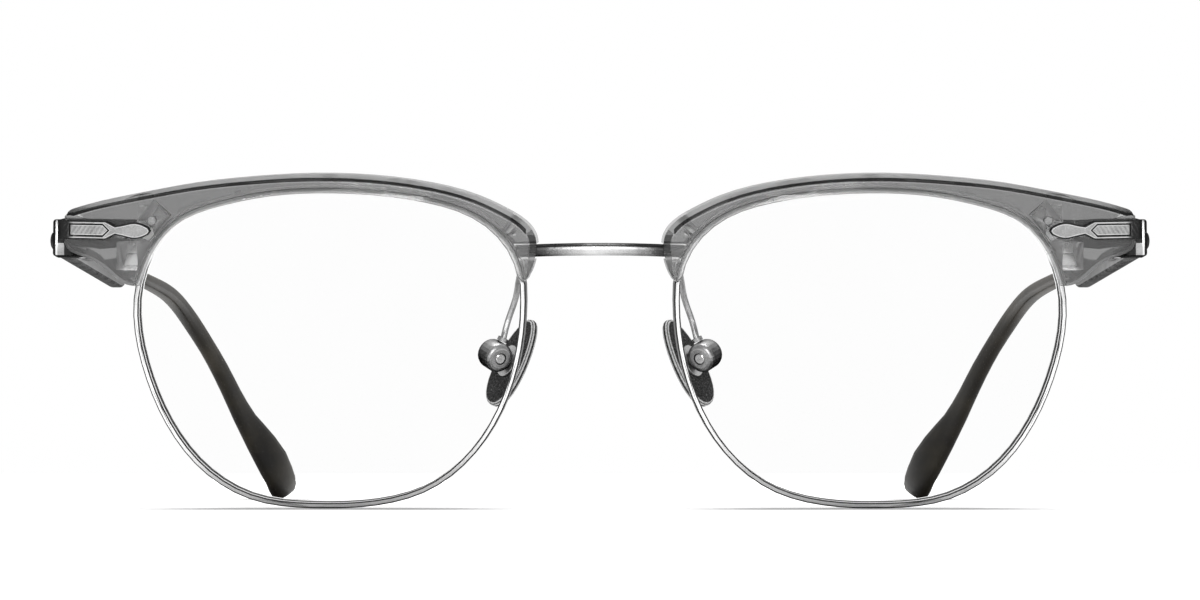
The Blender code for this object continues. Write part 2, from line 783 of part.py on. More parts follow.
def brow_mesh():
    """The acetate bar with its seats milled in its back."""
    through = brow_back + overrun
    pocket = prism([(closing_inner - seat_offset, closing_bottom - closing_screw_head_height - fit_gap),
                    (closing_inner + closing_width + fit_gap, closing_bottom - closing_screw_head_height - fit_gap),
                    (closing_inner + closing_width + fit_gap, closing_top + fit_gap),
                    (closing_inner - overrun, closing_top + fit_gap)],
                   closing_front - fit_gap, through)
    lug_pocket = prism(lug_outline(fit_gap), brow_lug_front - fit_gap, through)
    nasal_pocket = prism(nasal_lug_outline(fit_gap), nasal_lug_front - fit_gap, through)
    screw_hole = on_back(pin(brow_screw_radius + slim_gap, brow_lug_front - brow_screw_depth - fit_gap, through))
    screw_hole.transform(Matrix.Translation((brow_screw_place.x, 0, brow_screw_place.y)))
    slot_bottom = bridge_level - bridge_height / 2 - fit_gap
    slot_inside = window_point(bridge_level, -1)
    slot_outside = -brow_nose_reach - overrun
    bridge_slot = prism([(slot_outside, slot_bottom), (slot_inside, slot_bottom),
                         (slot_inside, bridge_top), (slot_outside, bridge_top)],
                        brow_lip - brow_front, through)
    rivet_holes = [
        moved(on_back(pin(rivet_radius + slim_gap, -through, through)), Matrix.Translation((place, 0, plaque_level)))
        for place in (inner_rivet_place, outer_rivet_place)
    ]
    milled = cut(brow_blank(), seat_prism(0.0, -through, through),
                 seat_prism(seat_offset, brow_lip - brow_front, through),
                 pocket, lug_pocket, nasal_pocket, screw_hole, bridge_slot, *rivet_holes)
    return base_curved(sliced(milled))


def brow_lug_mesh():
    """The strip that runs from the upper closing block along the wire, with the screw's hole."""
    strip = prism(lug_outline(0.0), brow_lug_front, brow_lug_front + brow_lug_thickness)
    below = prism([(0, 0), (brow_outer_reach, 0), (brow_outer_reach, closing_top + slim_gap),
                   (0, closing_top + slim_gap)], -overrun, wire_depth + overrun)
    hole = moved(on_back(pin(brow_screw_radius + slim_gap, -overrun, wire_depth + overrun)),
                 Matrix.Translation((brow_screw_place.x, 0, brow_screw_place.y)))
    return base_curved(cut(strip, seat_prism(wire_height + slim_gap, -overrun, wire_depth + overrun), below, hole))


def nasal_lug_mesh():
    tab = prism(nasal_lug_outline(0.0), nasal_lug_front, nasal_lug_front + nasal_lug_thickness)
    return base_curved(cut(tab, seat_prism(wire_height + slim_gap, -overrun, wire_depth + overrun)))


def brow_screw_mesh():
    top = brow_lug_front + brow_lug_thickness + slim_gap
    screw = headed_pin(brow_screw_radius, brow_lug_front - brow_screw_depth, top,
                       brow_screw_head_radius, brow_screw_head_height)
    screw = cut(screw, screw_slot(top + brow_screw_head_height, brow_screw_head_radius))
    return base_curved(moved(on_back(screw), Matrix.Translation((brow_screw_place.x, 0, brow_screw_place.y))))


def screw_slot(top, head_radius):
    """The cutter for a driver's slot across a head whose top is at the given height."""
    reach = head_radius * 2
    half = screw_slot_width / 2
    return box((-reach, reach), (-half, half), (top - screw_slot_depth, top + screw_slot_depth))


# Front plaque and its rivets

def plaque_outline():
    """The spear seen from the front: body, neck and leaf."""
    half_body, half_neck, half_leaf = plaque_height / 2, plaque_neck_height / 2, plaque_leaf_height / 2
    shoulder = (plaque_neck_end + plaque_leaf_centre) / 2
    cheek = (plaque_leaf_centre + plaque_tip) / 2
    nose = plaque_leaf_centre + (plaque_tip - plaque_leaf_centre) * plaque_nose_shares[0]
    upper = [(plaque_outer_end + overrun, half_body), (plaque_body_end, half_body)]
    leaf = [(plaque_neck_end, half_neck), (shoulder, (half_neck + half_leaf) / 2),
            (plaque_leaf_centre, half_leaf), (cheek, half_leaf * plaque_cheek_share),
            (nose, half_leaf * plaque_nose_shares[1])]
    upper += list(map(tuple, smooth_points(leaf, 4)))
    outline = upper + [(plaque_tip, 0.0)] + [(out, -up) for out, up in reversed(upper)]
    return [(out, plaque_level + up) for out, up in outline]


def plaque_mesh():
    """The spear and its leg, cut from a strip bent round the brow's end."""
    front_face = -brow_front - slim_gap - plaque_thickness
    leg_end = brow_back - slim_gap
    inner_end = plaque_outer_end - plaque_thickness
    corner = [(plaque_outer_end - plaque_corner_radius * (1 - math.sin(turn)),
               front_face + plaque_corner_radius * (1 - math.cos(turn)))
              for turn in np.linspace(0, math.pi / 2, 5)]
    strip = [(plaque_tip - overrun, front_face)] + corner + [
        (plaque_outer_end, leg_end), (inner_end, leg_end),
        (inner_end, front_face + plaque_thickness), (plaque_tip - overrun, front_face + plaque_thickness)]
    blank = prism(strip, plaque_level - plaque_height, plaque_level + plaque_height, TOP_VIEW)
    spear = combine(blank, prism(plaque_outline(), -brow_front - overrun, brow_back + overrun), "INTERSECT")
    spear = bevelled(spear, plaque_edge_bevel,
                     lambda edge: all(v.co.y < front_face + weld_distance for v in edge.verts))
    half = panel_height / 2
    outer, inner = plaque_outer_end - panel_from_end, plaque_body_end + panel_from_taper
    panel = prism([(outer, plaque_level + half), (inner, plaque_level + half),
                   (inner - panel_point_length, plaque_level), (inner, plaque_level - half),
                   (outer, plaque_level - half)], front_face - overrun, front_face + panel_depth)
    return base_curved(sliced(cut(spear, panel)))


def rivet_mesh(place):
    top = brow_back + fit_gap + arm_thickness + slim_gap
    rivet = headed_pin(rivet_radius, -brow_front, top, rivet_head_radius, rivet_head_height)
    return base_curved(moved(on_back(rivet), Matrix.Translation((place, 0, plaque_level))))


# End piece, its stud and the hinge

def knuckle(low, high, toward):
    """One hinge knuckle about the pin, with a web that reaches to the given point."""
    barrel = pin(knuckle_radius, low, high)
    web_x, web_y = toward
    web = box((min(web_x, -knuckle_radius), web_x) if web_y < 0 else (0.0, web_x),
              (web_y, 0.0) if web_y < 0 else (0.0, web_y), (low, high))
    return join(barrel, web)


half_hinge = hinge_height / 2
half_middle = middle_knuckle_height / 2


def end_piece_mesh():
    """The arm behind the brow, the upright block and the two outer knuckles, in the eye frame."""
    inner = arm_outer_end - arm_length
    bottom, top = plaque_level - arm_below_plaque, plaque_level + arm_above_plaque
    arm = prism([(inner, bottom), (arm_outer_end, bottom), (arm_outer_end, top), (inner, top)],
                arm_front, arm_front + arm_thickness)
    holes = [moved(on_back(pin(rivet_radius + slim_gap, -overrun, brow_back + overrun)),
                   Matrix.Translation((place, 0, plaque_level)))
             for place in (inner_rivet_place, outer_rivet_place)]
    arm = base_curved(sliced(cut(arm, *holes)))
    block = box((block_inner_face, block_outer_face), (block_front_face, block_back_face),
                (-block_height / 2, block_height / 2))
    block = bevelled(block, block_bevel, segments=2)
    stud_hole = moved(pin(stud_shank_radius + slim_gap, -stud_shank_length - fit_gap, overrun), stud_place())
    web_reach = (block_inner_face + hinge_web_grip, block_back_face - hinge_web_grip)
    knuckles = [knuckle(half_middle + slim_gap, half_hinge, web_reach),
                knuckle(-half_hinge, -half_middle - slim_gap, web_reach)]
    pin_hole = pin(hinge_pin_radius + running_gap, -overrun, overrun)
    hinge_part = cut(join(block, *knuckles), pin_hole, stud_hole)
    return join(arm, moved(hinge_part, hinge_in_eye))


def stud_place():
    """Where the stud sits in the hinge frame: about its own Z, which faces outwards."""
    place = Vector((block_outer_face, -stud_ahead_of_pin, -stud_below_pin))
    return Matrix.Translation(place) @ Matrix.Rotation(math.pi / 2, 4, "Y")


def end_stud_mesh():
    """A rivet with a low domed head."""
    dome = [(stud_radius * math.sin(turn), slim_gap + stud_dome_height * math.cos(turn))
            for turn in np.linspace(0, math.pi / 2, 5)]
    return moved(turned(dome + [(stud_shank_radius, slim_gap), (stud_shank_radius, -stud_shank_length),
                                (0, -stud_shank_length)]), stud_place())


def hinge_screw_mesh():
    screw = headed_pin(hinge_pin_radius, -half_hinge, half_hinge + slim_gap, hinge_head_radius, hinge_head_height)
    return cut(screw, screw_slot(half_hinge + slim_gap + hinge_head_height, hinge_head_radius))


def leaf_mesh():
    """The temple's hinge plate with the middle knuckle, in the hinge frame."""
    outer_face = -blade_thickness / 2 - slim_gap
    leaf_start = knuckle_radius + leaf_behind_knuckle
    plate = box((outer_face - leaf_thickness, outer_face), (leaf_start, leaf_start + leaf_length),
                (-leaf_height / 2, leaf_height / 2))
    web_reach = (blade_offset + outer_face - leaf_thickness / 2, leaf_start + leaf_thickness)
    middle = knuckle(-half_middle, half_middle, web_reach)
    return cut(join(moved(plate, along_blade), middle), pin(hinge_pin_radius + running_gap, -overrun, overrun))


# Temple: blade, core and tip, in the hinge frame

along_blade = Matrix.Translation((blade_offset, 0, 0)) @ Matrix.Rotation(temple_lean, 4, "Z")


def blade_outline():
    """The blade from the side: level and slowly widening, with a rounded rear end."""
    half_front, half_rear, half_neck = blade_front_height / 2, blade_rear_height / 2, blade_neck_height / 2
    wide_end = blade_end - blade_rounding_length
    lower = [(blade_front, -half_front), (wide_end, -half_rear)]
    step = blade_rounding_length / 3
    rounding = [(wide_end, -half_rear), (wide_end + step, -half_rear * blade_end_shares[0]),
                (blade_end - step, -half_rear * blade_end_shares[1]), (blade_end, -half_neck)]
    lower += list(map(tuple, smooth_points(rounding, 3)[1:]))
    return lower + [(back, -up) for back, up in reversed(lower)]


def blade_mesh():
    plate = prism(blade_outline(), -blade_thickness / 2, blade_thickness / 2, SIDE_VIEW)
    plate = bevelled(plate, blade_bevel, lambda edge: all(abs(abs(v.co.x) - blade_thickness / 2) < weld_distance
                                                          for v in edge.verts))
    return moved(plate, along_blade)


def temple_line(count, start_share=0.0, end_share=1.0):
    """Points on the temple's centre line behind the blade, evenly spaced, in the hinge frame."""
    places = []
    for along, down, inwards in tip_line_shares:
        back = blade_end + slim_gap * 2 + tip_length * along
        places.append((blade_offset - back * math.tan(temple_lean) - tip_inwards * inwards, back, -tip_drop * down))
    curve = smooth_points(places, 8)
    lengths = np.linalg.norm(np.diff(curve, axis=0), axis=1)
    return evenly_spaced(curve, count, lengths.sum() * start_share, lengths.sum() * end_share)


def tip_mesh():
    """The acetate tip: a slim round start that bends down and widens to a paddle."""
    shares, height_shares, thickness_shares = zip(*tip_section_shares)
    fine = temple_line(200)
    spread = np.concatenate([np.linspace(0, shares[1], 2), np.linspace(shares[1], shares[-4], tip_rings)[1:],
                             shares[-3:]])
    rings = []
    for share in spread:
        index = min(int(share * (len(fine) - 1)), len(fine) - 2)
        along = Vector(fine[index + 1] - fine[index]).normalized()
        centre = Vector([np.interp(share * (len(fine) - 1), range(len(fine)), column) for column in fine.T])
        outwards = along.cross(Vector((0, 0, 1))).normalized()
        lean = tip_end_lean * max(share - tip_end_from_share, 0.0) / (1 - tip_end_from_share)
        upwards = outwards.cross(Matrix.Rotation(-lean, 3, outwards) @ along)
        height = tip_height / 2 * np.interp(share, shares, height_shares)
        width = tip_thickness / 2 * np.interp(share, shares, thickness_shares)
        ring = []
        for i in range(tip_sides):
            turn = 2 * math.pi * i / tip_sides
            sideways, up = math.cos(turn), math.sin(turn)
            ring.append(centre + outwards * width * math.copysign(abs(sideways) ** tip_squareness, sideways)
                        + upwards * height * math.copysign(abs(up) ** tip_squareness, up))
        rings.append(ring)
    bore_line = temple_line(core_points, 0.0, core_length_share + core_end_room_share)
    ahead = Vector(bore_line[0] - bore_line[1]).normalized() * overrun
    bore = tube([Vector(bore_line[0]) + ahead, *bore_line], core_radius + fit_gap, sides=1)
    return cut(loft(rings), bore)


def core_mesh():
    """The wire inside the tip, from the blade's end to the paddle."""
    return tube(temple_line(core_points, 0.0, core_length_share), core_radius, sides=1)


# Nose pads, in the pad frame: X along the screw, Y along the pad, Z towards the nose

ALONG_X = Matrix.Rotation(-math.pi / 2, 4, "Y")


def pad_box_mesh():
    """The rounded barrel, slotted towards the pad, with the screw's bore and head seat."""
    half, soft = pad_box_length / 2, pad_box_round
    edge = [(pad_box_radius - soft * (1 - math.sin(turn)), half - soft * (1 - math.cos(turn)))
            for turn in np.linspace(0, math.pi / 2, 4)]
    barrel = turned([(0, half)] + edge + [(out, -up) for out, up in reversed(edge)] + [(0, -half)], steps=24)
    slot = box((-pad_slot_width / 2, pad_slot_width / 2), (-pad_slot_half_height, pad_slot_half_height),
               (-pad_slot_depth, pad_box_radius + overrun))
    bore = pin(pad_screw_radius + slim_gap, -half + soft / 2, half + overrun)
    seat = pin(pad_screw_head_radius + slim_gap, half - pad_screw_head_height - slim_gap, half + overrun)
    return cut(moved(barrel, ALONG_X), slot, moved(bore, ALONG_X), moved(seat, ALONG_X))


def pad_screw_mesh():
    half = pad_box_length / 2
    top = half - pad_screw_head_height
    screw = headed_pin(pad_screw_radius, -half + pad_box_round, top, pad_screw_head_radius, pad_screw_head_height)
    return moved(cut(screw, screw_slot(half, pad_screw_head_radius)), ALONG_X)


def egg(half_width, half_length, narrowing, steps):
    """A pad's outline: a rounded oval, narrower towards its top."""
    outline = []
    for i in range(steps):
        turn = 2 * math.pi * i / steps
        along = math.sin(turn)
        width = half_width * (1 + narrowing * along)
        across = math.cos(turn)
        outline.append((width * math.copysign(abs(across) ** pad_roundness, across), half_length * along))
    return outline


def pad_plate_mesh():
    """The pad's backing plate with the tongue that takes the screw."""
    plate = prism(egg(pad_plate_half_width, pad_plate_half_length, 0.0, 20), pad_plate_from_screw,
                  pad_plate_from_screw + pad_plate_thickness, TOP_VIEW)
    half, reach = pad_tongue_width / 2, pad_tongue_half_height
    tongue = join(moved(pin(reach, -half, half), ALONG_X),
                  box((-half, half), (-reach, reach), (0.0, pad_plate_from_screw + pad_plate_thickness / 2)))
    hole = moved(pin(pad_screw_radius + running_gap, -overrun, overrun), ALONG_X)
    return cut(join(plate, tongue), hole)


def nose_pad_mesh():
    low = pad_plate_from_screw + pad_plate_thickness + slim_gap
    pad = prism(egg(pad_half_width, pad_half_length, pad_top_narrowing_share, pad_steps), low, low + pad_thickness,
                TOP_VIEW)
    return bevelled(pad, pad_edge_bevel)


def pad_arm_mesh():
    """The bent wire from the back of the eyewire to the pad box, with a collar at the box."""
    up = bridge_level - pad_arm_below_bridge
    out = window_point(up, -1, wire_height / 2)
    root = eye_in_worn @ Vector((out, sag(out, up) + wire_depth + slim_gap, up))
    behind = eye_in_worn @ Vector((out, sag(out, up) + wire_depth + pad_arm_standoff, up))
    bends = [(half_nose_width + outwards, back, pad_box_level + (behind.z - pad_box_level) * share)
             for (outwards, back), share in zip(pad_arm_bends, pad_arm_height_shares)]
    end = Vector(pad_box_centre) - pad_along * (pad_box_radius + slim_gap)
    above = end - pad_along * pad_arm_collar_height
    line = smooth_points([root, behind, *bends, above], 5)
    wire = tube([*evenly_spaced(line, pad_arm_points), tuple(end)], pad_arm_radius)
    collar = pin(pad_arm_collar_radius, 0.0, pad_arm_collar_height, steps=16)
    turn = (-pad_along).to_track_quat("Z", "Y").to_matrix().to_4x4()
    wire = join(wire, moved(collar, Matrix.Translation(end) @ turn))
    return moved(wire, worn_in_eye)


# Bridge, in the front frame

def bridge_mesh():
    """The arched bar: its ends are cut to lie along the two eyewires."""
    def band(share_up):
        return [(x, bridge_level + bridge_arch * (1 - (x / bridge_blank_reach) ** 2) + bridge_height * share_up)
                for x in np.linspace(-bridge_blank_reach, bridge_blank_reach, bridge_steps)]

    front_face = bridge_back_of_front
    bar = prism(band(-0.5) + band(0.5)[::-1], front_face, front_face + bridge_depth)
    bar = sliced(bevelled(bar, bridge_round, lambda edge: any(abs(vertex.co.x) < bridge_blank_reach - weld_distance
                                                              for vertex in edge.verts)))
    for vertex in bar.vertices:
        vertex.co.y -= bridge_forward_bow * (1 - (vertex.co.x / bridge_blank_reach) ** 2)
    seat = base_curved(seat_prism(seat_offset, -overrun, wire_depth + overrun))
    other_seat = seat.copy()
    seat.transform(eyes[0].matrix_local)
    other_seat.transform(MIRROR @ eyes[0].matrix_local)
    other_seat.flip_normals()
    return cut(bar, seat, other_seat)


# The pieces

add_pair("rim", rim_mesh(), eyes, silver)
add_pair("lens", lens_mesh(), eyes, clear)
add_pair("closing_block_upper", closing_block(split_height + slim_gap / 2, closing_top), eyes, silver)
add_pair("closing_block_lower", closing_block(closing_bottom, split_height - slim_gap / 2), eyes, silver)
add_pair("closing_screw", closing_screw(), eyes, steel)
add_pair("brow", brow_mesh(), eyes, acetate)
add_pair("brow_lug", brow_lug_mesh(), eyes, silver)
add_pair("brow_screw", brow_screw_mesh(), eyes, steel)
add_pair("nasal_lug", nasal_lug_mesh(), eyes, silver)
add_pair("front_plaque", plaque_mesh(), eyes, silver)
add_pair("plaque_rivet_inner", rivet_mesh(inner_rivet_place), eyes, steel)
add_pair("plaque_rivet_outer", rivet_mesh(outer_rivet_place), eyes, steel)
add_pair("end_piece", end_piece_mesh(), eyes, silver)
add_pair("pad_arm", pad_arm_mesh(), eyes, silver)
add_piece("bridge", bridge_mesh(), front, silver)
add_pair("end_stud", end_stud_mesh(), hinges, silver)
add_pair("hinge_screw", hinge_screw_mesh(), hinges, steel)
add_pair("hinge_leaf", leaf_mesh(), hinges, silver)
add_pair("temple_blade", blade_mesh(), hinges, silver)
add_pair("temple_core", core_mesh(), hinges, silver)
add_pair("temple_tip", tip_mesh(), hinges, tortoise)
add_pair("pad_box", pad_box_mesh(), pads, silver)
add_pair("pad_screw", pad_screw_mesh(), pads, steel)
add_pair("pad_plate", pad_plate_mesh(), pads, silver)
add_pair("nose_pad", nose_pad_mesh(), pads, pad_finish)


# The stance: turned and moved so that the rims and the tips both touch the table

def worn_points(*names):
    bpy.context.view_layer.update()
    return np.array([tuple(bpy.data.objects[name].matrix_world @ vertex.co)
                     for name in names for vertex in bpy.data.objects[name].data.vertices])


def lean_back(points, angle):
    """Heights and depths of the points when the rear of the frame is let down by angle."""
    depths = points[:, 1] * math.cos(angle) + points[:, 2] * math.sin(angle)
    heights = points[:, 2] * math.cos(angle) - points[:, 1] * math.sin(angle)
    return depths, heights


def standing_angle():
    """The angle at which the lowest points of the rims and of the tips are level."""
    rim_points = worn_points("left_rim")
    tip_points = worn_points("left_temple_tip")
    level, too_far = 0.0, 10 * degree
    for _ in range(40):
        middle = (level + too_far) / 2
        tip_is_higher = lean_back(tip_points, middle)[1].min() > lean_back(rim_points, middle)[1].min()
        level, too_far = (middle, too_far) if tip_is_higher else (level, middle)
    return level


angle = standing_angle()
every_point = worn_points(*[piece.name for piece in parts.objects])
depths, heights = lean_back(every_point, angle)
stance.matrix_local = (Matrix.Translation((0, -(depths.min() + depths.max()) / 2, -heights.min()))
                       @ Matrix.Rotation(-angle, 4, "X"))
bpy.context.view_layer.update()
for datum in (*hinges, *pads):
    matrix = datum.matrix_world
    print(datum.name, "at", [round(c, 6) for c in matrix.translation],
          "X", [round(c, 6) for c in matrix.col[0][:3]], "Z", [round(c, 6) for c in matrix.col[2][:3]])
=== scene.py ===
# %% [markdown]
# # A combination eyeglass frame
# This lesson dresses a finished CAD frame: two acetate brows on thin metal eyewires, an arched
# bridge, nose pads on bent wires, and flat metal temples that end in dark acetate tips.
# The CAD model already has every piece at its real size. Here each piece gets the soft edges,
# the fine engraving and the surface that the real one shows, with light and shade painted into
# some of its colours.

# %% Load the frame and note its size
import json
import math

import bmesh
import bpy
from mathutils import Matrix, Vector
from mathutils.bvhtree import BVHTree


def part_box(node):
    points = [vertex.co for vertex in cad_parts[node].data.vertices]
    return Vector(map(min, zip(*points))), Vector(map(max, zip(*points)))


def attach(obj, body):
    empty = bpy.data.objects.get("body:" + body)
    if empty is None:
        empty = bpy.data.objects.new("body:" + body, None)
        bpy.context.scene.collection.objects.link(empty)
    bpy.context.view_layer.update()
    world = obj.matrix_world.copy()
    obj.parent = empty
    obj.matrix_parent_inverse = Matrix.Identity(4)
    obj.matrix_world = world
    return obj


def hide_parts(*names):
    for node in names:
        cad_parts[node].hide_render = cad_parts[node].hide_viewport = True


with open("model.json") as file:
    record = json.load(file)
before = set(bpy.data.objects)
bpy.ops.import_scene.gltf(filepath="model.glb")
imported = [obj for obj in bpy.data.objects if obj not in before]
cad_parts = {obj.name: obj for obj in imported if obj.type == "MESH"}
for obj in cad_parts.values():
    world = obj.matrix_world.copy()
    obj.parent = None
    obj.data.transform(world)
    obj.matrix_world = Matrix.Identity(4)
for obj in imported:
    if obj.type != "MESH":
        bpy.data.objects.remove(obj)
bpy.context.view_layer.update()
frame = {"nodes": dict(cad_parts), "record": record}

mm = 0.001
sides = ("left", "right")

# %% [markdown]
# The photograph was taken from straight ahead with a long lens, a few millimetres above the
# table. A camera that low sees the table as a thin strip, so the frame seems to stand on white.
# A camera looks along its own -Z axis, and so does a lamp, so one helper aims both.

# %% Camera
def aim(name, data, place, target):
    """Adds a camera or lamp at a place and turns it to face a target."""
    thing = bpy.data.objects.new(name, data)
    bpy.context.scene.collection.objects.link(thing)
    thing.location = place
    thing.rotation_euler = (Vector(target) - Vector(place)).to_track_quat("-Z", "Y").to_euler()
    return thing


camera_place = Vector((0, -521.8 * mm, 5.3 * mm))
camera_pitch = math.radians(2.774)
lens_length = 104.0
camera_data = bpy.data.cameras.new("camera")
camera_data.lens = lens_length
camera_data.clip_start = 10 * mm
camera_data.clip_end = 20000 * mm
view_direction = Vector((0, math.cos(camera_pitch), math.sin(camera_pitch)))
camera = aim("camera", camera_data, camera_place, camera_place + view_direction)
bpy.context.scene.camera = camera
bpy.context.scene.view_settings.view_transform = "Standard"
print("camera at", [round(c, 4) for c in camera_place], "with a", lens_length, "mm lens")

# %% [markdown]
# Shader maths is easier to read as sums than as a web of boxes. A wire is an output of a node,
# and adding, subtracting or multiplying wires adds the Math nodes. One method adds any other
# node. A finish is one material, with the patterns that real surfaces share.

# %% Wires and finishes
def feed(socket, value):
    """Links a wire to a socket, or sets a plain value on it."""
    if isinstance(value, Wire):
        socket.id_data.links.new(value.socket, socket)
    else:
        socket.default_value = value


class Wire:
    """One output of a shader node, on which sums can be written."""

    def __init__(self, socket):
        self.socket = socket

    def math_node(self, operation, first, second):
        node = self.socket.id_data.nodes.new("ShaderNodeMath")
        node.operation = operation
        feed(node.inputs[0], first)
        feed(node.inputs[1], second)
        return Wire(node.outputs[0])

    def __add__(self, other):
        return self.math_node("ADD", self, other)

    def __sub__(self, other):
        return self.math_node("SUBTRACT", self, other)

    def __rsub__(self, other):
        return self.math_node("SUBTRACT", other, self)

    def __mul__(self, other):
        return self.math_node("MULTIPLY", self, other)

    __radd__ = __add__
    __rmul__ = __mul__


class Nodes:
    """A node tree, and one method that adds any node to it."""

    def __init__(self, tree):
        self.tree = tree

    def add(self, kind, sockets=None, output=0, stops=(), **settings):
        """Adds a node with its settings, a ramp's stops, and the values or wires of its sockets."""
        node = self.tree.nodes.new("ShaderNode" + kind)
        for name, value in settings.items():
            setattr(node, name, value)
        if stops:
            ramp = node.color_ramp
            while len(ramp.elements) < len(stops):
                ramp.elements.new(1.0)
            for element, (place, colour) in zip(ramp.elements, stops):
                element.position = place
                element.color = (*colour, 1.0)
        for name, value in (sockets or {}).items():
            feed(node.inputs[name], value)
        return Wire(node.outputs[output])

    def coordinate(self, place, axis):
        """One of the three numbers of a place or direction."""
        return self.add("SeparateXYZ", {"Vector": place}, axis)

    def rays(self, *kinds):
        """1 for rays of these kinds, and 0 for all others."""
        return sum(self.add("LightPath", output=f"Is {kind} Ray") for kind in kinds)


class Finish(Nodes):
    """A material with its Principled shader, and the patterns that real surfaces share."""

    def __init__(self, name, **constants):
        self.material = bpy.data.materials.new(name)
        self.material.use_nodes = True
        super().__init__(self.material.node_tree)
        self.shader = self.tree.nodes["Principled BSDF"]
        self.place = self.add("TexCoord", output="Object")
        for socket, value in constants.items():
            self.set(socket.replace("_", " "), value)

    def set(self, socket, value):
        feed(self.shader.inputs[socket], value)

    def painted(self, name):
        """The attribute of this name that the mesh carries."""
        return self.add("Attribute", output="Fac", attribute_name=name)

    def noise(self, size, detail=2.0, stretch=(1, 1, 1)):
        """Soft random patches of about the given size, longer along an axis whose stretch is below 1."""
        place = self.add("Mapping", {"Vector": self.place, "Scale": stretch})
        return self.add("TexNoise", {"Vector": place, "Scale": 1 / size, "Detail": detail}, "Fac")

    def ramp(self, value, stops):
        """Turns a value from 0 to 1 into a colour."""
        return self.add("ValToRGB", {"Fac": value}, "Color", stops)

    def bump(self, height, depth, strength):
        """Shades the surface as if it rose by depth where height is 1."""
        self.set("Normal", self.add("Bump", {"Height": height, "Distance": depth, "Strength": strength}))


def grey(level):
    return (level, level, level)


print("shader helpers ready")

# %% [markdown]
# The metal is silver plated, blackened all over and then rubbed back. High places come out
# bright, and side walls, corners and engraved lines keep the black. Much of that dark and bright
# is painted shade and painted highlight: dark walls and edges where the light falls away, bright
# fronts and strips where it shines. Each mesh carries patina and painted light together as one
# attribute, from 0 for bright to 1 for black, and one finish reads it.

# %% Metals
bright, black = 0.0, 1.0
# These levels carry both patina and painted shade and highlights, from bright at 0 to black at 1.
patina_and_shade_levels = ((0.0, 1.0), (0.35, 0.62), (0.75, 0.12), (1.0, 0.04))
patch_size, patch_strength = 1.6 * mm, 0.3
grain_size, grain_strength, grain_depth = 0.14 * mm, 0.45, 0.015 * mm
grain_roughness, patina_roughness = 0.12, 0.15
hatch_pitch, hatch_slant, hatch_strength = 0.66 * mm, 0.7, 0.07


def hatch_lines(metal):
    """Slanted lines, mirrored left and right, where the attribute named hatch is 1."""
    sideways = metal.add("Math", {0: metal.coordinate(metal.place, "X")}, operation="ABSOLUTE")
    slanted = sideways + metal.coordinate(metal.place, "Z") * hatch_slant
    waves = metal.add("Math", {0: slanted * (2 * math.pi / hatch_pitch)}, operation="SINE")
    return metal.painted("hatch") * hatch_strength * waves


def metal_finish(name, light, roughness, edge=1.0, hatched=False):
    """Plated metal: as light as given where its patina and painted shade are 0, and nearly black where
    they are 1.
    """
    metal = Finish(name, Metallic=1.0, Specular_Tint=(*grey(edge), 1.0))
    patina_and_shade = metal.painted("patina_and_shade")
    patches = metal.noise(patch_size, detail=3.0)
    grain = metal.noise(grain_size, detail=2.0)
    worn = patina_and_shade + (patches - 0.5) * patch_strength + (grain - 0.5) * grain_strength
    if hatched:
        worn = worn + hatch_lines(metal)
    # The ramp turns patina and painted shade into the metal's colour.
    stops = [(place, grey(light * share)) for place, share in patina_and_shade_levels]
    metal.set("Base Color", metal.ramp(worn, stops))
    metal.set("Roughness", roughness + grain * grain_roughness + patina_and_shade * patina_roughness)
    metal.bump(grain, grain_depth, strength=0.7)
    return metal.material


silver = metal_finish("antique_silver", 0.72, 0.26, edge=0.1)
plaque_silver = metal_finish("plaque_silver", 0.85, 0.3, edge=0.1, hatched=True)
wire_silver = metal_finish("wire_silver", 0.95, 0.24)
satin = metal_finish("satin_silver", 0.95, 0.42)
screw_steel = metal_finish("screw_steel", 0.8, 0.16)
print("metals:", silver.name, plaque_silver.name, wire_silver.name, satin.name, screw_steel.name)

# %% [markdown]
# The brows are translucent grey acetate. Light goes in at the front and comes out at the back,
# so the wire, the lugs and the closing blocks behind show through as soft shapes. How light and
# how frosted each skin of a brow is comes from its mesh, as the patina of the metal does, and
# some of that lightness is painted light and shade.

# %% Grey acetate
cloud_size, cloud_strength = 7 * mm, 0.05
smear_size, polished, smeared, frosted = 0.5 * mm, 0.06, 0.04, 0.4


def grey_acetate_finish():
    """Dark where the attribute named shade is 0, clear where it is 1."""
    acetate = Finish("grey_acetate", Transmission_Weight=0.88, IOR=1.48)
    tone = acetate.painted("shade") + (acetate.noise(cloud_size, detail=3.0) - 0.5) * cloud_strength
    acetate.set("Base Color", acetate.ramp(tone, [(0.0, grey(0.004)), (1.0, grey(0.97))]))
    polish = polished + acetate.noise(smear_size) * smeared
    acetate.set("Roughness", polish + acetate.painted("frost") * frosted)
    acetate.bump(acetate.noise(2.5 * mm), depth=0.01 * mm, strength=0.4)
    return acetate.material


grey_acetate = grey_acetate_finish()
print("brows:", grey_acetate.name)

# %% [markdown]
# The tips are dark tortoise acetate, a little lighter towards their top, under a thin gloss.
# The pads are dark and grainy, with a painted highlight along their rounded edge. The lenses are
# clear, and only a trace of dust shows that they are there.

# %% Tips, pads and lenses
tip_low, tip_high, tip_lift = 18 * mm, 36 * mm, 0.22
tip_roughness, tip_smears = 0.3, 0.12
# The pale edge of the pads is a painted highlight.
pad_edge_highlight, pad_roughness, pad_grain_roughness = 0.5, 0.45, 0.25
dust_cover = 0.006


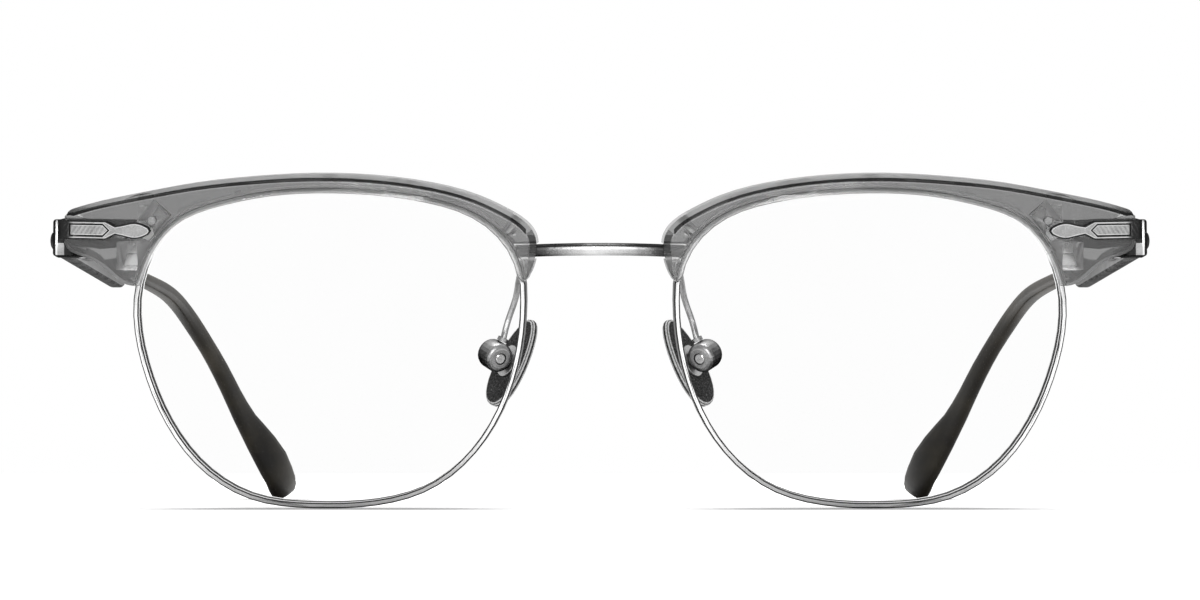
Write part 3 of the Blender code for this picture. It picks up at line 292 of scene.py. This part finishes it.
def tortoise_finish():
    tortoise = Finish("dark_tortoise", IOR=1.0, Coat_Weight=0.4, Coat_Roughness=0.28, Coat_IOR=1.4)
    mottle = tortoise.noise(6 * mm, detail=4.0, stretch=(1, 0.45, 1))
    height = tortoise.coordinate(tortoise.place, "Z")
    lift = tortoise.add("MapRange", {"Value": height, "From Min": tip_low, "From Max": tip_high,
                                     "To Min": 0.0, "To Max": tip_lift})
    tortoise.set("Base Color", tortoise.ramp(mottle + lift, [
        (0.34, (0.007, 0.006, 0.005)), (0.6, (0.026, 0.022, 0.015)), (1.0, (0.095, 0.083, 0.066))]))
    tortoise.set("Roughness", tip_roughness + tortoise.noise(0.6 * mm) * tip_smears)
    tortoise.bump(tortoise.noise(0.8 * mm), depth=0.008 * mm, strength=0.4)
    return tortoise.material


def pad_finish():
    pad = Finish("dark_pad", IOR=1.0, Coat_Weight=0.25, Coat_Roughness=0.35, Coat_IOR=1.4)
    grain = pad.noise(0.22 * mm, detail=3.0)
    pad.set("Base Color", pad.ramp(grain + pad.painted("rounded") * pad_edge_highlight, [
        (0.35, grey(0.015)), (0.65, grey(0.09)), (1.0, grey(0.8))]))
    pad.set("Roughness", pad_roughness + grain * pad_grain_roughness)
    pad.bump(grain, depth=0.04 * mm, strength=0.8)
    return pad.material


def lens_finish():
    lens = Finish("clear_lens", IOR=1.1, Roughness=0.02)
    dust = lens.noise(9 * mm)
    lens.set("Base Color", lens.ramp(dust, [(0.3, grey(0.04)), (0.7, grey(0.07))]))
    lens.set("Alpha", dust_cover + dust * dust_cover)
    return lens.material


tortoise = tortoise_finish()
dark_pad = pad_finish()
clear_lens = lens_finish()
print("tips, pads and lenses:", tortoise.name, dark_pad.name, clear_lens.name)

# %% [markdown]
# A CAD mesh comes in as loose triangles. A copy is welded, so that neighbours share their
# corners, and slivers and needless edges inside flat faces go away. Bevels, insets and smooth
# shading all need such a clean mesh.

# %% Copy a CAD node
weld = 0.002 * mm
short_edge = 0.02 * mm
same_plane = math.radians(0.3)


def body_of(node):
    """The body that carries a CAD node."""
    bodies = frame["record"]["behaviour"]["bodies"]
    return next(body for body, nodes in bodies.items() if node in nodes)


def welded_copy(node, name):
    """A clean copy of a CAD node, with a mesh of its own."""
    piece = frame["nodes"][node].copy()
    piece.data = piece.data.copy()
    piece.name = piece.data.name = name
    piece.parent = None
    for key in list(piece.keys()):
        del piece[key]
    bpy.context.scene.collection.objects.link(piece)
    shape = bmesh.new()
    shape.from_mesh(piece.data)
    bmesh.ops.remove_doubles(shape, verts=shape.verts, dist=weld)
    bmesh.ops.dissolve_degenerate(shape, edges=shape.edges, dist=short_edge)
    bmesh.ops.dissolve_limit(shape, angle_limit=same_plane, verts=shape.verts, edges=shape.edges)
    shape.to_mesh(piece.data)
    shape.free()
    return piece


print("triangles in the CAD model:", sum(len(node.data.polygons) for node in frame["nodes"].values()))

# %% [markdown]
# On a real piece a sharp edge is always a little rounded and catches the light. A copy gets that
# rounding, then its curved faces are smoothed and its patina, with painted shade and highlights,
# is written on it. It takes the place of its CAD node and rides on the same body.

# %% Dress a CAD node
sharp = math.radians(32)


def only(piece):
    """Makes one object the selected and active one, for the operators that follow."""
    bpy.ops.object.select_all(action="DESELECT")
    piece.select_set(True)
    bpy.context.view_layer.objects.active = piece


def paint_faces(piece, name, values):
    """Writes an attribute that has one value for each face."""
    painted = piece.data.attributes.new(name, "FLOAT", "CORNER")
    for face, value in zip(piece.data.polygons, values):
        for corner in face.loop_indices:
            painted.data[corner].value = value


def paint_patina_and_shade(piece, rule):
    """Writes the patina and painted shade of every face corner, from rule(place, normal) in millimetres.
    """
    painted = piece.data.attributes.new("patina_and_shade", "FLOAT", "CORNER")
    for face in piece.data.polygons:
        for corner in face.loop_indices:
            place = piece.data.vertices[piece.data.loops[corner].vertex_index].co / mm
            painted.data[corner].value = min(max(rule(place, face.normal), bright), black)


def round_edges(piece, rounding):
    """Rounds the sharp edges, and marks the new faces: they get a second material for a moment."""
    piece.data.materials.clear()
    for material in (silver, satin):
        piece.data.materials.append(material)
    bevel = piece.modifiers.new("rounding", "BEVEL")
    bevel.width = rounding
    bevel.segments = 2
    bevel.limit_method = "ANGLE"
    bevel.angle_limit = sharp
    bevel.material = 1
    bpy.ops.object.modifier_apply(modifier=bevel.name)
    paint_faces(piece, "rounded", [face.material_index for face in piece.data.polygons])
    for face in piece.data.polygons:
        face.material_index = 0


def finish_piece(piece, node, material):
    """Gives a piece its material, and puts it in the place of its CAD node."""
    piece.data.materials.clear()
    piece.data.materials.append(material)
    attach(piece, body_of(node))
    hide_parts(node)


def dress(node, material, rounding=0.0, smooth=sharp, rule=None, reshape=None):
    """A welded, rounded and smoothed copy of a CAD node, shown in its place."""
    piece = welded_copy(node, node + "_dressed")
    only(piece)
    if reshape:
        reshape(piece)
    if rounding:
        round_edges(piece, rounding)
    bpy.ops.object.shade_smooth_by_angle(angle=smooth)
    if rule:
        paint_patina_and_shade(piece, rule)
    finish_piece(piece, node, material)
    return piece


print("edges sharper than", round(math.degrees(sharp)), "degrees can be rounded")

# %% [markdown]
# The front of a frame is bent like its lenses, leans, and turns back a little on each side.
# Undoing that gives flat places: outwards and up from a lens's middle, and back from its front.
# With them it is easy to say which faces are walls, floors of milled seats, or the front.

# %% Flat places
joints = frame["record"]["behaviour"]["joints"]
hinge_axis = next(joint["axis"] for joint in joints if joint["name"] == "left_temple_fold")
lean_from_hinges = math.radians(9.6)
front_lean = lean_from_hinges - math.asin(hinge_axis[1])
wrap = math.radians(4.5)
curve_radius = 160.0
front_limit = -0.97


def middle_of(node):
    """The middle of a CAD node, in millimetres."""
    low, high = (Vector(corner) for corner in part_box(node))
    return (low + high) / 2 / mm


lens_middles = {side: middle_of(f"{side}_lens") for side in sides}


def flattener(side):
    """Gives a function for (outwards, back, up) in millimetres, and one for how a face looks."""
    sign = 1 if side == "left" else -1
    turn = Matrix.Rotation(front_lean, 3, "X") @ Matrix.Rotation(wrap * sign, 3, "Z")
    back_again = turn.inverted()
    middle = lens_middles[side]

    def flat(place):
        out, back, up = back_again @ (place - middle)
        return Vector((out * sign, back - (out * out + up * up) / (2 * curve_radius), up))

    def lean_back(place, normal):
        out, back, up = back_again @ (place - middle)
        bent = Vector((-out / curve_radius, 1, -up / curve_radius)).normalized()
        return (back_again @ normal).dot(bent)
    return flat, lean_back


flat, lean_back = {}, {}
for side in sides:
    flat[side], lean_back[side] = flattener(side)


def leans_of(piece, side):
    """How far each face looks backwards, from -1 for the front to 1 for the back."""
    return [lean_back[side](face.center / mm, face.normal) for face in piece.data.polygons]


print("the front leans by", round(math.degrees(front_lean), 2), "degrees")

# %% [markdown]
# The eyewire is a channel with a rounded face. Its outer wall is black, patina and painted shade,
# and its face is painted bright as a highlight, with a dark line of painted shade beside it, and so
# a light line between dark ones follows each lens. Behind the brow only its outermost wall is
# black, and the rest is painted bright, so that it shows through as a light line.

# %% Eyewires
cover_reach, cover_gap = 4.0 * mm, 0.3 * mm
wire_front_limit, wire_edge_limit = -0.93, -0.35
outer_wall_limit, outermost_limit = 0.1, 0.5
# The dark line beside the wire's front is painted shade, and its bright front a painted highlight.
wire_edge_shade, wire_inside = 0.85, 0.05


def wire_shade_and_highlights(side):
    """Black outside, a painted highlight on the front, a painted dark edge beside it, and a light inner
    wall.
    """
    brow = frame["nodes"][f"{side}_brow"]
    corners = [vertex.co.copy() for vertex in brow.data.vertices]
    cover = BVHTree.FromPolygons(corners, [tuple(face.vertices) for face in brow.data.polygons])
    forwards = Vector((0, -1, 0))

    def rule(place, normal):
        lean = lean_back[side](place, normal)
        outwards = place - lens_middles[side]
        outwards.y = 0
        outward = normal.dot(outwards.normalized())
        # Behind the brow the wire is painted bright, a painted highlight that shows through the acetate.
        start = place * mm + forwards * cover_gap
        covered = cover.ray_cast(start, forwards, cover_reach)[0] is not None
        seen_through_brow = covered and outward < outermost_limit
        if lean < wire_front_limit or seen_through_brow:
            return bright
        if outward > outer_wall_limit:
            return black
        return wire_edge_shade if lean < wire_edge_limit else wire_inside
    return rule


for side in sides:
    dress(f"{side}_rim", wire_silver, smooth=math.radians(30), rule=wire_shade_and_highlights(side))
print("eyewires dressed")

# %% [markdown]
# The small metal pieces get soft edges of about a tenth of a millimetre. The ones that show
# through the acetate, and the screws, are bright in front, with painted shade darkening their
# side walls. The bridge is bright in its middle and black where it meets the eyewires, partly
# patina and partly painted shade from the brows, with a painted dark line along its top.

# %% Small metal pieces
soft_edge, lug_edge, fine_edge = 0.12 * mm, 0.1 * mm, 0.08 * mm
forward_limit = -0.8
# The darker side walls of the pieces behind the acetate and of the screws are painted shade.
block_wall_shade, screw_wall_shade = 0.75, 0.3
bar_half_length = 8.4
bar_middle, bar_fade = 0.1, 1.6
# The bridge's darker top is painted shade.
bar_top_shade, bar_top_limit = 0.5, 0.6
# The blade's dark narrow edges are painted shade.
blade_edge_shade, blade_side, blade_side_limit = 0.6, 0.2, 0.9
# The barrel's dark underside and outer end are painted shade.
barrel_top, barrel_shade = 0.3, 0.7


def by_facing(front, side_wall):
    """Patina and painted shade for faces that look forwards, and for all others."""
    def rule(place, normal):
        return front if normal.y < forward_limit else side_wall
    return rule


def bridge_patina_and_shade(place, normal):
    """Bright in the middle and black where the bar meets the eyewires, partly patina and partly painted
    shade, and painted darker on top as shade.
    """
    along = min(abs(place.x) / bar_half_length, 1.0)
    top = bar_top_shade if normal.z > bar_top_limit else 0.0
    return bar_middle + along ** bar_fade * (1 - bar_middle) + top


def blade_painted_shade(place, normal):
    """Painted shade on its narrow edges, and lighter on its flat sides."""
    return blade_edge_shade if abs(normal.x) < blade_side_limit else blade_side


def barrel_painted_shade(place, normal):
    """The barrel is painted dark underneath and on its rounded outer end, as shade."""
    outer = normal.x if place.x > 0 else -normal.x
    return barrel_top + barrel_shade * max(-normal.z, 0.0) + barrel_shade * max(outer, 0.0) ** 2


seen_through = {"closing_block_upper": soft_edge, "closing_block_lower": soft_edge,
                "brow_lug": lug_edge, "nasal_lug": lug_edge}
edges_and_patinas = {"hinge_leaf": (fine_edge, 0.15), "pad_plate": (fine_edge, 0.15),
                     "temple_core": (0.0, 0.15), "pad_arm": (0.0, 0.4), "end_stud": (0.0, 0.85)}
screws = ("closing_screw", "brow_screw", "plaque_rivet_inner", "plaque_rivet_outer",
          "hinge_screw", "pad_screw")
for side in sides:
    for kind, rounding in seen_through.items():
        dress(f"{side}_{kind}", satin, rounding, rule=by_facing(bright, block_wall_shade))
    for kind, (rounding, patina_and_shade) in edges_and_patinas.items():
        dress(f"{side}_{kind}", silver, rounding, rule=by_facing(patina_and_shade, patina_and_shade))
    for kind in screws:
        dress(f"{side}_{kind}", screw_steel, rule=by_facing(bright, screw_wall_shade))
    dress(f"{side}_pad_box", silver, rule=barrel_painted_shade)
    dress(f"{side}_temple_blade", silver, soft_edge, rule=blade_painted_shade)
dress("bridge", silver, smooth=math.radians(50), rule=bridge_patina_and_shade)
print("small metal pieces dressed")

# %% [markdown]
# Narrow bands and strips on a face are cut in edit mode. Faces are chosen by their numbers, then
# an inset gives a band along their outline, and a bisect parts them along a plane. What lies
# inside a band is marked on the mesh, because the numbers change with the next cut.

# %% Cut and mark faces
def edit(piece, chosen):
    """Opens a piece in edit mode with only the chosen faces selected, by their numbers."""
    only(piece)
    bpy.ops.object.mode_set(mode="EDIT")
    bpy.ops.mesh.select_mode(type="FACE")
    bpy.ops.mesh.select_all(action="DESELECT")
    bpy.ops.object.mode_set(mode="OBJECT")
    for number in chosen:
        piece.data.polygons[number].select = True
    bpy.ops.object.mode_set(mode="EDIT")


def close(piece):
    """Leaves edit mode and gives the numbers of the faces that are still selected."""
    bpy.ops.object.mode_set(mode="OBJECT")
    return [face.index for face in piece.data.polygons if face.select]


def cut(piece, place, facing):
    """Cuts all faces of a piece along a plane."""
    edit(piece, range(len(piece.data.polygons)))
    bpy.ops.mesh.bisect(plane_co=place, plane_no=facing, threshold=weld)
    close(piece)


def inset(piece, chosen, width, mark, even):
    """Parts a band off the outline of the chosen faces, and marks and gives what lies inside it."""
    edit(piece, chosen)
    bpy.ops.mesh.inset(thickness=width, depth=0, use_even_offset=even)
    inside = close(piece)
    marks = piece.data.attributes.new(mark, "INT", "FACE")
    for number in inside:
        marks.data[number].value = 1
    return inside


def marked(piece, mark):
    """Says of each face whether it has a mark."""
    return [bool(face.value) for face in piece.data.attributes[mark].data]


print("cuts and marks ready")

# %% [markdown]
# The plaque is stamped: a leaf, a neck and a panel with slanted lines. Its wall and the rim of
# its front are black, patina and painted shade, which draws its outline, with a painted highlight
# line just inside it, and painted shade creeps inwards towards the bent end. The end piece behind
# it is black too, but for a painted highlight along its corner.

# %% Plaques and end pieces
outline_width = 0.12 * mm
# The band just inside the black outline is a painted highlight line.
highlight_line_width = 0.1 * mm
panel_half_height = 0.74
panel_from = 64.7 * mm
fade_from, fade_to = 69.0 * mm, 69.9 * mm
# The strip on the end piece's corner is a painted highlight, and the front below the plaque is painted a
# little lighter.
lit_from, strip_from, strip_to = 71.06 * mm, 71.95 * mm, 72.2 * mm
least_patina, field_patina, lit_patina = 0.03, 0.42, 0.45
end_front_limit = -0.9


def outlined(side):
    """Cuts the plaque where it fades to black, and gives its front two narrow bands."""
    def reshape(piece):
        sign = 1 if side == "left" else -1
        for place in (fade_from, fade_to):
            cut(piece, (sign * place, 0, 0), (1, 0, 0))
        front = [number for number, lean in enumerate(leans_of(piece, side)) if lean < front_limit]
        print(side, "plaque front faces", len(front))
        front = inset(piece, front, outline_width, "inner", even=True)
        inset(piece, front, highlight_line_width, "field", even=False)
    return reshape


def plaque_painted_shade(place, normal):
    """Bright, with painted shade fading it to black at the bent end."""
    return min(max((abs(place.x) * mm - fade_from) / (fade_to - fade_from), least_patina), black)


def paint_plaque(plaque, side):
    """Black outlines of patina and painted shade, a painted highlight line inside them, a half bright
    field and lines in the panel.
    """
    inner, field = marked(plaque, "inner"), marked(plaque, "field")
    levels = [flat[side](vertex.co / mm).z for vertex in plaque.data.vertices]
    level = (min(levels) + max(levels)) / 2
    hatched = []
    for face in plaque.data.polygons:
        beside = abs(flat[side](face.center / mm).z - level)
        on_panel = beside < panel_half_height and abs(face.center.x) > panel_from
        hatched.append(float(inner[face.index] and field[face.index] and on_panel))
    paint_faces(plaque, "hatch", hatched)
    patina_and_shade = plaque.data.attributes["patina_and_shade"].data
    for face in plaque.data.polygons:
        for corner in face.loop_indices:
            if not inner[face.index]:
                patina_and_shade[corner].value = black
            elif field[face.index]:
                patina_and_shade[corner].value = max(patina_and_shade[corner].value, field_patina)


def with_strip(side):
    """Cuts the end piece for the painted highlight on its corner, and level with the plaque's foot."""
    def reshape(piece):
        sign = 1 if side == "left" else -1
        for place in (lit_from, strip_from, strip_to):
            cut(piece, (sign * place, 0, 0), (1, 0, 0))
        cut(piece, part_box(f"{side}_front_plaque")[0], (0, 0, 1))
    return reshape


def paint_end_highlight(piece):
    """Paints the narrow strip bright as a highlight, and the front beside it, below the plaque, a little
    lighter as painted light.
    """
    patina_and_shade = piece.data.attributes["patina_and_shade"].data
    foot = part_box("left_front_plaque")[0][2]
    for face in piece.data.polygons:
        place = abs(face.center.x)
        on_strip = strip_from < place < strip_to
        below = lit_from < place < strip_from and face.center.z < foot
        if face.normal.y < end_front_limit and (on_strip or below):
            for corner in face.loop_indices:
                patina_and_shade[corner].value = bright if on_strip else lit_patina


for side in sides:
    plaque = dress(f"{side}_front_plaque", plaque_silver, smooth=0.0,
                   rule=plaque_painted_shade, reshape=outlined(side))
    paint_plaque(plaque, side)
    end = dress(f"{side}_end_piece", silver, rule=by_facing(black, black),
                reshape=with_strip(side))
    paint_end_highlight(end)
print("plaques and end pieces dressed")

# %% [markdown]
# The brow's outside is polished. The seats milled in its back are frosted, with their floors
# painted light and their walls darker, so they show through the front as lighter fields with
# darker walls. Where the top bevel meets the front, the clear edge throws a dark line and, just
# below it, a light one; they are painted as shade and highlight on two narrow strips of the mesh.

# %% Shape the brows
crease_width = 0.46 * mm
front_crease_width = 0.16 * mm
light_line_width = 0.13 * mm
bevel_front_limit, bevel_back_limit, bevel_rise = -0.93, -0.4, 0.3


def is_bevel(lean, face):
    """Whether a face belongs to the bevel along the brow's top."""
    return bevel_front_limit < lean < bevel_back_limit and face.normal.z > bevel_rise


def creased(side):
    """Parts a dark strip off the top bevel, and a dark and a light one off the front below it."""
    def reshape(piece):
        leans = leans_of(piece, side)
        bevel = [face.index for face in piece.data.polygons if is_bevel(leans[face.index], face)]
        inset(piece, bevel, crease_width, "inner_bevel", even=True)
        front = [number for number, lean in enumerate(leans_of(piece, side)) if lean < front_limit]
        print(side, "bevel faces", len(bevel), "front faces", len(front))
        front = inset(piece, front, front_crease_width, "within_crease", even=False)
        inset(piece, front, light_line_width, "inner_front", even=False)
    return reshape


brows = {}
for side in sides:
    brows[side] = dress(f"{side}_brow", grey_acetate, reshape=creased(side))
print("brows shaped:", ", ".join(brow.name for brow in brows.values()))

# %% [markdown]
# Each face of a brow now gets its skin: how light it looks through the acetate, and how frosted.
# The polished front is middling and the back dark. The seats' floors are painted light and the
# wall at the nose painted dark, as light and shade. The dark line and the light one below it, a
# painted shade and a painted highlight, follow the crease of the top bevel.

# %% Paint the brows
# The light seat floors and the dark nose wall are painted light and shade; dark_skin and light_skin
# paint the shade and highlight lines at the crease.
front_skin, back_skin, floor_skin, bevel_skin, wall_skin, nose_skin = 0.62, 0.1, 1.0, 0.4, 0.35, 0.08
dark_skin, light_skin = 0.0, floor_skin
frosts = {floor_skin: 0.3, bevel_skin: 0.8, wall_skin: 0.7}
back_limit, least_seat_depth = 0.9, 0.4
nose_wall_reach, nose_wall_from, nose_wall_limit = 11 * mm, 33 * mm, 0.5


def crease_of(brow, leans):
    """The numbers of the bevel's faces in the strip along the front."""
    faces = brow.data.polygons
    inner = marked(brow, "inner_bevel")
    front_edges = {key for face in faces if leans[face.index] < front_limit for key in face.edge_keys}
    strip = [face for face in faces if is_bevel(leans[face.index], face) and not inner[face.index]]
    return {face.index for face in strip if any(key in front_edges for key in face.edge_keys)}


def skin_of(face, lean, depth, back, crease):
    """How light a face is, by where it lies and where it looks; back is the depth of the back."""
    if lean < front_limit:
        return front_skin
    if is_bevel(lean, face):
        return dark_skin if face.index in crease else bevel_skin
    if lean > back_limit:
        return floor_skin if depth < back - least_seat_depth else back_skin
    at_nose = abs(face.center.x) < nose_wall_reach and face.center.z > nose_wall_from
    return nose_skin if at_nose and abs(face.normal.x) > nose_wall_limit else wall_skin


def draw_lines(brow, leans, skins, crease):
    """Carries the painted dark line of the crease onto the front, and paints the light line beside it as
    a highlight.
    """
    faces = brow.data.polygons
    beside = {vertex for number in crease for vertex in faces[number].vertices}
    for skin, mark in ((dark_skin, "within_crease"), (light_skin, "inner_front")):
        inside = marked(brow, mark)
        drawn = set()
        for face in faces:
            on_front = leans[face.index] < front_limit and skins[face.index] == front_skin
            touching = sum(vertex in beside for vertex in face.vertices)
            if on_front and not inside[face.index] and touching > 1:
                skins[face.index] = skin
                drawn.update(face.vertices)
        beside = drawn


for side, brow in brows.items():
    back = max(flat[side](vertex.co / mm).y for vertex in frame["nodes"][f"{side}_brow"].data.vertices)
    leans = leans_of(brow, side)
    crease = crease_of(brow, leans)
    skins = [skin_of(face, leans[face.index], flat[side](face.center / mm).y, back, crease)
             for face in brow.data.polygons]
    draw_lines(brow, leans, skins, crease)
    paint_faces(brow, "shade", skins)
    paint_faces(brow, "frost", [frosts.get(skin, 0.0) for skin in skins])
    print(side, "brow painted,", len(crease), "faces in its crease, its back at", round(back, 2), "mm")

# %% [markdown]
# The tips, pads and lenses have their full shape in the CAD model. The tips only need smooth
# faces all round, the pads a small rounding on their edge, and the lenses their clear finish.

# %% The other plastic pieces
for side in sides:
    dress(f"{side}_temple_tip", tortoise, smooth=math.radians(70))
    dress(f"{side}_nose_pad", dark_pad, soft_edge)
    dress(f"{side}_lens", clear_lens)
print("plastic pieces dressed")

# %% [markdown]
# The table is a plain pale sheet. It is lit like everything else and keeps the frame's shadow.
# The camera sees it brighter than it is lit, so that it runs into the white behind, but not
# where the frame stands close above it: there the soft dark shadow of the contact stays.

# %% Table
table_size = 6000 * mm
contact_reach = 25 * mm
contact_dark, contact_open = 0.75, 0.97
extra_white = 0.8

bpy.ops.object.select_all(action="DESELECT")
bpy.ops.mesh.primitive_plane_add(size=table_size, location=(0, 0, 0))
table = bpy.context.object
table.name = "table"
sheet = Finish("table_white", Roughness=0.9, Emission_Color=(1, 1, 1, 1))
sheet.set("Base Color", sheet.ramp(sheet.noise(300 * mm), [(0.2, grey(0.58)), (0.8, grey(0.6))]))
open_sky = sheet.add("AmbientOcclusion", {"Distance": contact_reach}, "AO", samples=24)
top_up = sheet.add("MapRange", {"Value": open_sky, "From Min": contact_dark, "From Max": contact_open,
                                "To Min": 0.0, "To Max": extra_white})
sheet.set("Emission Strength", sheet.rays("Camera", "Transmission", "Glossy") * top_up)
table.data.materials.append(sheet.material)
print("table laid:", table.name)

# %% [markdown]
# One soft box stands above the camera, one hangs over the frame and one stands behind it. None
# of them shows through the acetate, and the one behind doesn't mirror in the metal.
# The world is white where the camera and the acetate look at it, and gentler on matt surfaces.
# Metal sees it darker before the frame than behind it, which gives round wires their shape.

# %% Lights and world
matt_light = 0.28
dark_front = 0.4
sweep_from, sweep_to = -0.2, 0.5


def soft_box(name, place, width, height, watts):
    """A lamp with a lit rectangle, in metres, that faces the middle of the frame."""
    light = bpy.data.lights.new(name, "AREA")
    light.shape = "RECTANGLE"
    light.size = width
    light.size_y = height
    light.energy = watts
    box = aim(name, light, place, (0, 0, 25 * mm))
    box.visible_transmission = False
    return box


soft_box("front_box", (0, -1.1, 0.3), width=0.5, height=0.35, watts=4)
soft_box("top_box", (0, 0.1, 0.9), width=0.6, height=0.3, watts=2.5)
back_box = soft_box("back_box", (0, 1.0, 0.45), width=0.5, height=0.35, watts=10)
back_box.visible_glossy = False

world = bpy.data.worlds.new("studio")
bpy.context.scene.world = world
world.use_nodes = True
studio = Nodes(world.node_tree)
background = world.node_tree.nodes["Background"]
depth = studio.coordinate(studio.add("TexCoord", output="Generated"), "Y")
sweep = studio.add("MapRange", {"Value": depth, "From Min": sweep_from, "From Max": sweep_to,
                                "To Min": dark_front, "To Max": 1.0})
plain = studio.add("Mix", {"Factor": studio.rays("Camera", "Transmission"), "A": matt_light, "B": 1.0},
                   data_type="FLOAT", clamp_factor=True)
strength = studio.add("Mix", {"Factor": studio.rays("Glossy"), "A": plain, "B": sweep},
                      data_type="FLOAT", clamp_factor=True)
feed(background.inputs["Strength"], strength)
feed(background.inputs["Color"], (1, 1, 1, 1))
print("lights and world set")
